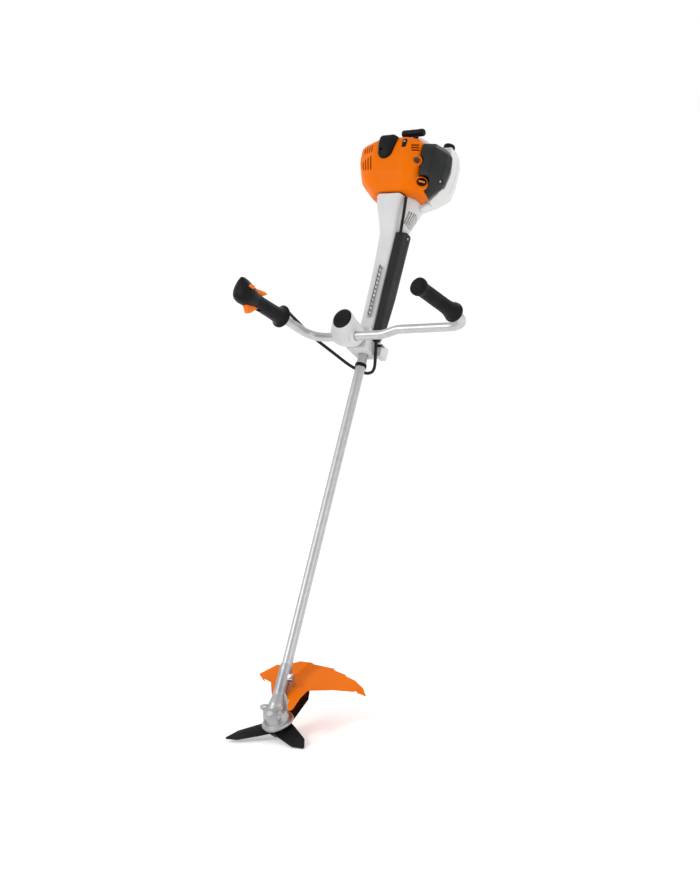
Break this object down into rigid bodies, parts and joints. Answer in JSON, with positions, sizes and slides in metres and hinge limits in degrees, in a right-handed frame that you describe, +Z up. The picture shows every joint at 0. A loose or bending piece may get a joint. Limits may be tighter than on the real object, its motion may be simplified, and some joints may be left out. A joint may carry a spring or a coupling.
{
  "type": "brush mower",
  "caption": "Bike-handle brush mower: a three-armed knife and deflector on a long tube, a hip pad and harness rail, two upright grips and a small covered engine.",
  "frame": {"origin": "centre of the working hole in the harness rail, from which the machine hangs at its balance point", "axes": "+X across the machine to the operator's left, +Z up, +Y back towards the operator; the shaft leans 52 degrees above level"},
  "size_m": [0.5899, 1.2456, 1.4979],
  "materials": {
    "knife_steel": "satin",
    "bare_steel": "satin",
    "zinc_steel": "satin",
    "cast_alloy": "satin",
    "tube_alloy": "satin",
    "orange_shell": "satin",
    "white_shell": "satin",
    "black_plastic": "matte",
    "dark_shell": "satin",
    "soft_rubber": "matte",
    "pad_rubber": "matte",
    "orange_lever": "satin",
    "cable_sheath": "satin",
    "bearing_steel": "polished",
    "dark_iron": "rough",
    "filter_foam": "matte",
    "starter_cord": "matte",
    "ceramic_white": "gloss",
    "bulb_rubber": "gloss",
    "tank_plastic": "satin",
    "cup_steel": "satin"
  },
  "bodies": {
    "machine": {"shaft_tube": "tube_alloy", "shaft_bushes": "soft_rubber", "gear_housing": "cast_alloy", "grease_plug": "zinc_steel", "gearhead_screws": "zinc_steel", "gearhead_bearings": "bearing_steel", "deflector_guard": "orange_shell", "guard_bracket": "cast_alloy", "handle_clamp": "white_shell", "clamp_side_block": "white_shell", "cable_clip": "black_plastic", "throttle_cable": "cable_sheath", "middle_cable": "cable_sheath", "lower_cable": "cable_sheath", "engine_cable": "cable_sheath", "top_shell": "white_shell", "hip_pad": "pad_rubber", "harness_rail": "zinc_steel", "clutch_housing": "white_shell", "engine_bearings": "bearing_steel", "crankcase": "cast_alloy", "cylinder": "cast_alloy", "spark_plug": "ceramic_white", "muffler": "dark_iron", "carburettor": "cast_alloy", "air_filter": "filter_foam", "filter_cover": "dark_shell", "engine_shroud": "orange_shell", "plug_cover": "black_plastic", "fuel_tank": "tank_plastic", "starter_housing": "white_shell", "starter_rope": "starter_cord"},
    "cutter": {"brush_knife": "knife_steel", "thrust_plate": "bare_steel", "rider_cup": "cup_steel", "collar_nut": "zinc_steel", "output_shaft": "bare_steel", "driven_bevel_gear": "bare_steel"},
    "drive_line": {"drive_shaft": "bare_steel", "pinion_gear": "bare_steel", "clutch_drum": "dark_iron"},
    "crank": {"crankshaft": "bare_steel", "clutch_shoes": "dark_iron", "flywheel": "cast_alloy"},
    "piston": {"piston": "cast_alloy"},
    "swivel": {"swivel_dome": "white_shell"},
    "clamp_knob": {"clamp_knob": "black_plastic"},
    "handlebar": {"handlebar_tube": "tube_alloy", "left_grip": "soft_rubber", "control_grip": "black_plastic", "grip_screws": "zinc_steel"},
    "trigger": {"throttle_trigger": "orange_lever"},
    "lockout": {"throttle_lockout": "orange_lever"},
    "stop_switch": {"stop_button": "orange_lever"},
    "pull_start": {"starter_grip": "black_plastic"},
    "starter_reel": {"starter_pulley": "black_plastic"},
    "choke": {"choke_knob": "black_plastic"},
    "primer": {"primer_bulb": "bulb_rubber"},
    "tank_cap": {"fuel_cap": "black_plastic"}
  },
  "joints": [
    {"name": "blade_spin", "type": "hinge", "parent": "machine", "child": "cutter", "pos_m": [-0.0135, -0.73279, -1.00614], "axis": [0, -0.342, 0.9397], "continuous": true},
    {"name": "drive_spin", "type": "hinge", "parent": "machine", "child": "drive_line", "pos_m": [-0.0135, -0.73279, -1.00614], "axis": [0, 0.6157, 0.788], "continuous": true},
    {"name": "crank_spin", "type": "hinge", "parent": "machine", "child": "crank", "pos_m": [-0.0135, 0.25227, 0.25467], "axis": [0, 0.6157, 0.788], "continuous": true},
    {"name": "piston_stroke", "type": "slide", "parent": "machine", "child": "piston", "axis": [0, -0.788, 0.6157], "range_m": [-0.016, 0.006]},
    {"name": "handlebar_swivel", "type": "hinge", "parent": "machine", "child": "swivel", "pos_m": [-0.0135, -0.1234, -0.07998], "axis": [0, -0.788, 0.6157], "range_deg": [-90, 0], "deforming": ["throttle_cable", "middle_cable"]},
    {"name": "handlebar_tilt", "type": "hinge", "parent": "swivel", "child": "handlebar", "pos_m": [-0.0135, -0.15862, -0.10069], "axis": [1, 0, 0], "range_deg": [-15, 15], "deforming": ["throttle_cable", "middle_cable"]},
    {"name": "knob_turn", "type": "hinge", "parent": "swivel", "child": "clamp_knob", "pos_m": [-0.0135, -0.14704, -0.06151], "axis": [0, -0.788, 0.6157], "range_deg": [0, 720]},
    {"name": "trigger_press", "type": "hinge", "parent": "handlebar", "child": "trigger", "pos_m": [-0.15363, -0.40052, 0.02838], "axis": [0.9951, -0.0808, 0.0575], "range_deg": [0, 6], "stiffness_Nm_per_rad": 0.6, "springref_deg": -20.05},
    {"name": "lockout_press", "type": "hinge", "parent": "handlebar", "child": "lockout", "pos_m": [-0.15288, -0.36282, 0.0683], "axis": [-0.9951, 0.0808, -0.0575], "range_deg": [0, 6], "stiffness_Nm_per_rad": 0.5, "springref_deg": -17.19},
    {"name": "stop_press", "type": "slide", "parent": "handlebar", "child": "stop_switch", "axis": [0.0534, -0.0529, -0.9972], "range_m": [0, 0.002], "stiffness_N_per_m": 400, "springref_m": -0.003},
    {"name": "starter_pull", "type": "slide", "parent": "machine", "child": "pull_start", "axis": [0, -0.788, 0.6157], "range_m": [0, 0.7], "stiffness_N_per_m": 15, "springref_m": -0.4, "deforming": ["starter_rope"]},
    {"name": "reel_spin", "type": "hinge", "parent": "machine", "child": "starter_reel", "pos_m": [-0.0135, 0.33354, 0.35869], "axis": [0, -0.6157, -0.788], "range_deg": [0, 892]},
    {"name": "choke_turn", "type": "hinge", "parent": "machine", "child": "choke", "pos_m": [0.0847, 0.1829, 0.27081], "axis": [0.6, -0.6304, 0.4925], "range_deg": [0, 60]},
    {"name": "primer_press", "type": "slide", "parent": "machine", "child": "primer", "axis": [-0.5219, 0.6722, -0.5252], "range_m": [0, 0.004], "stiffness_N_per_m": 500, "springref_m": -0.002},
    {"name": "cap_turn", "type": "hinge", "parent": "machine", "child": "tank_cap", "pos_m": [0.0525, 0.41806, 0.34342], "axis": [0, 0.6157, 0.788], "range_deg": [0, 90]}
  ],
  "couplings": [
    {"joint": "drive_spin", "follows": "blade_spin", "ratio": 1.3571},
    {"joint": "reel_spin", "follows": "starter_pull", "rad_per_m": 22.222}
  ]
}
